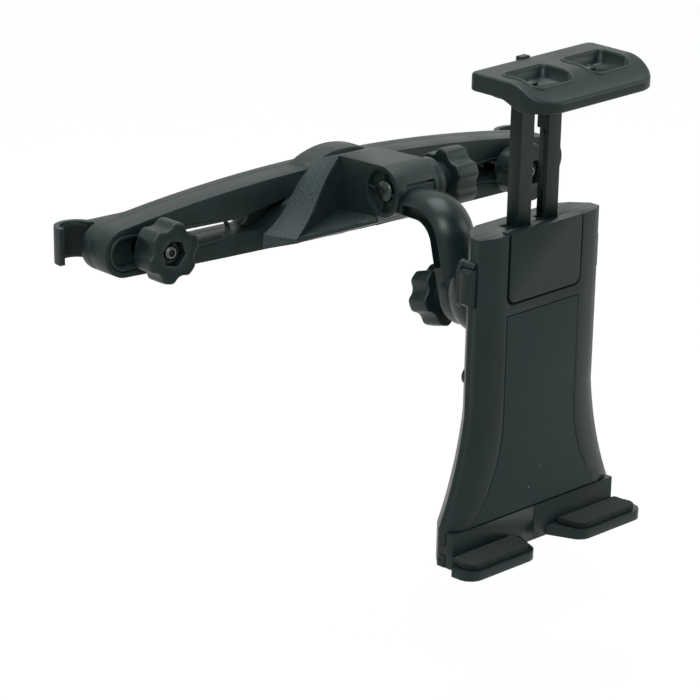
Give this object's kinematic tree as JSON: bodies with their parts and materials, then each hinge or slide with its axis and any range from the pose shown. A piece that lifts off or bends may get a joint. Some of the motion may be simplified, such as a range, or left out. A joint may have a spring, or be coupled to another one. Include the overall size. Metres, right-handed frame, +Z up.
{
  "type": "tablet holder",
  "caption": "Headrest tablet holder: a slotted beam clamps on the headrest posts and carries a curved arm, a ball joint and a spring-held cradle with a sliding jaw.",
  "frame": {"origin": "midway between the two headrest posts, on the line through both post axes, near the beam's mid height", "axes": "+X along the beam to the right as seen from the tablet side, +Y back to the seat, +Z up"},
  "size_m": [0.2635, 0.1887, 0.2068],
  "materials": {
    "charcoal_plastic": "fine grain",
    "satin_plastic": "satin",
    "glossy_plastic": "glossy",
    "matt_pad": "matt",
    "washer_plastic": "smooth",
    "rubber": "matt",
    "foam": "open foam",
    "steel": "zinc plated",
    "bright_steel": "bright",
    "spring_steel": "sheet spring"
  },
  "bodies": {
    "beam": {"beam_front_shell": "charcoal_plastic", "beam_back_cover": "charcoal_plastic", "beam_screw_1": "steel", "beam_screw_2": "steel", "beam_screw_3": "steel", "beam_screw_4": "steel", "hinge_bolt": "bright_steel", "hinge_collar": "satin_plastic"},
    "left_carriage": {"left_knob_washer": "washer_plastic"},
    "left_hook_part": {"left_hook": "charcoal_plastic", "left_hook_pad": "rubber", "left_hook_bolt": "steel"},
    "left_knob_part": {"left_knob": "charcoal_plastic", "left_knob_nut": "steel"},
    "right_carriage": {"right_knob_washer": "washer_plastic"},
    "right_hook_part": {"right_hook": "charcoal_plastic", "right_hook_pad": "rubber", "right_hook_bolt": "steel"},
    "right_knob_part": {"right_knob": "charcoal_plastic", "right_knob_nut": "steel"},
    "hinge_knob_part": {"hinge_knob": "charcoal_plastic", "hinge_nut": "steel"},
    "arm_part": {"arm": "glossy_plastic", "swivel_bolt": "steel", "swivel_washer": "steel"},
    "swivel_knob_part": {"swivel_knob": "charcoal_plastic", "swivel_nut": "steel"},
    "tilt_plate": {"swivel_inner_plate": "washer_plastic"},
    "pan_plate": {"swivel_outer_plate": "washer_plastic"},
    "holder": {"swivel_dome": "glossy_plastic", "holder_front_shell": "satin_plastic", "holder_back_shell": "satin_plastic", "upper_cover": "satin_plastic", "front_pad": "matt_pad", "holder_screw_1": "steel", "holder_screw_2": "steel", "holder_screw_3": "steel", "holder_screw_4": "steel", "left_button_spring": "spring_steel", "right_button_spring": "spring_steel"},
    "jaw_part": {"jaw": "satin_plastic", "jaw_pad": "foam", "left_jaw_bar": "satin_plastic", "right_jaw_bar": "satin_plastic", "left_jaw_screw": "steel", "right_jaw_screw": "steel"},
    "left_button_part": {"left_release_button": "satin_plastic"},
    "right_button_part": {"right_release_button": "satin_plastic"},
    "left_foot_part": {"left_foot": "satin_plastic", "left_foot_pad": "foam"},
    "right_foot_part": {"right_foot": "satin_plastic", "right_foot_pad": "foam"}
  },
  "joints": [
    {"name": "left_clamp_slide", "type": "slide", "parent": "beam", "child": "left_carriage", "axis": [-1, 0, 0], "range_m": [-0.0352, 0.0017]},
    {"name": "left_knob_turn", "type": "hinge", "parent": "left_carriage", "child": "left_knob_part", "pos_m": [-0.1032, -0.0245, -0.0023], "axis": [0, 1, 0], "range_deg": [-360, 360]},
    {"name": "left_hook_clamp", "type": "slide", "parent": "left_carriage", "child": "left_hook_part", "axis": [0, -1, 0], "range_m": [-0.001, 0.001]},
    {"name": "right_clamp_slide", "type": "slide", "parent": "beam", "child": "right_carriage", "axis": [1, 0, 0], "range_m": [-0.0275, 0.0094]},
    {"name": "right_knob_turn", "type": "hinge", "parent": "right_carriage", "child": "right_knob_part", "pos_m": [0.0955, -0.0245, -0.0023], "axis": [0, 1, 0], "range_deg": [-360, 360]},
    {"name": "right_hook_clamp", "type": "slide", "parent": "right_carriage", "child": "right_hook_part", "axis": [0, -1, 0], "range_m": [-0.001, 0.001]},
    {"name": "hinge_knob_turn", "type": "hinge", "parent": "beam", "child": "hinge_knob_part", "pos_m": [0.02, -0.0609, 0.0129], "axis": [1, 0, 0], "range_deg": [-360, 360]},
    {"name": "arm_tilt", "type": "hinge", "parent": "beam", "child": "arm_part", "pos_m": [0, -0.0609, 0.0129], "axis": [1, 0, 0], "range_deg": [-4, 45]},
    {"name": "swivel_knob_turn", "type": "hinge", "parent": "arm_part", "child": "swivel_knob_part", "pos_m": [0, -0.08853, -0.028], "axis": [0, 0.9724, -0.2334], "range_deg": [-360, 360]},
    {"name": "holder_tilt", "type": "hinge", "parent": "arm_part", "child": "tilt_plate", "pos_m": [0, -0.1177, -0.021], "axis": [1, 0, 0], "range_deg": [-27, 1.5]},
    {"name": "holder_pan", "type": "hinge", "parent": "tilt_plate", "child": "pan_plate", "pos_m": [0, -0.1177, -0.021], "axis": [0, -0.0349, 0.9994], "range_deg": [-16, 3.5]},
    {"name": "holder_spin", "type": "hinge", "parent": "pan_plate", "child": "holder", "pos_m": [0, -0.1177, -0.021], "axis": [-0.1097, 0.9934, 0.0349], "continuous": true},
    {"name": "jaw_slide", "type": "slide", "parent": "holder", "child": "jaw_part", "axis": [0.0038, -0.0347, 0.9994], "range_m": [-0.05, 0.012]},
    {"name": "left_button_press", "type": "slide", "parent": "holder", "child": "left_button_part", "axis": [0.994, 0.1097, 0], "range_m": [0, 0.0026], "stiffness_N_per_m": 1200, "springref_m": -0.001, "deforming": ["left_button_spring"]},
    {"name": "right_button_press", "type": "slide", "parent": "holder", "child": "right_button_part", "axis": [-0.994, -0.1097, 0], "range_m": [0, 0.0026], "stiffness_N_per_m": 1200, "springref_m": -0.001, "deforming": ["right_button_spring"]},
    {"name": "left_foot_slide", "type": "slide", "parent": "holder", "child": "left_foot_part", "axis": [-0.994, -0.1097, 0], "range_m": [0, 0.012]},
    {"name": "right_foot_slide", "type": "slide", "parent": "holder", "child": "right_foot_part", "axis": [0.994, 0.1097, 0], "range_m": [0, 0.012]}
  ],
  "couplings": [
    {"joint": "left_knob_turn", "follows": "left_hook_clamp", "rad_per_m": 6283.2},
    {"joint": "right_knob_turn", "follows": "right_hook_clamp", "rad_per_m": 6283.2}
  ]
}
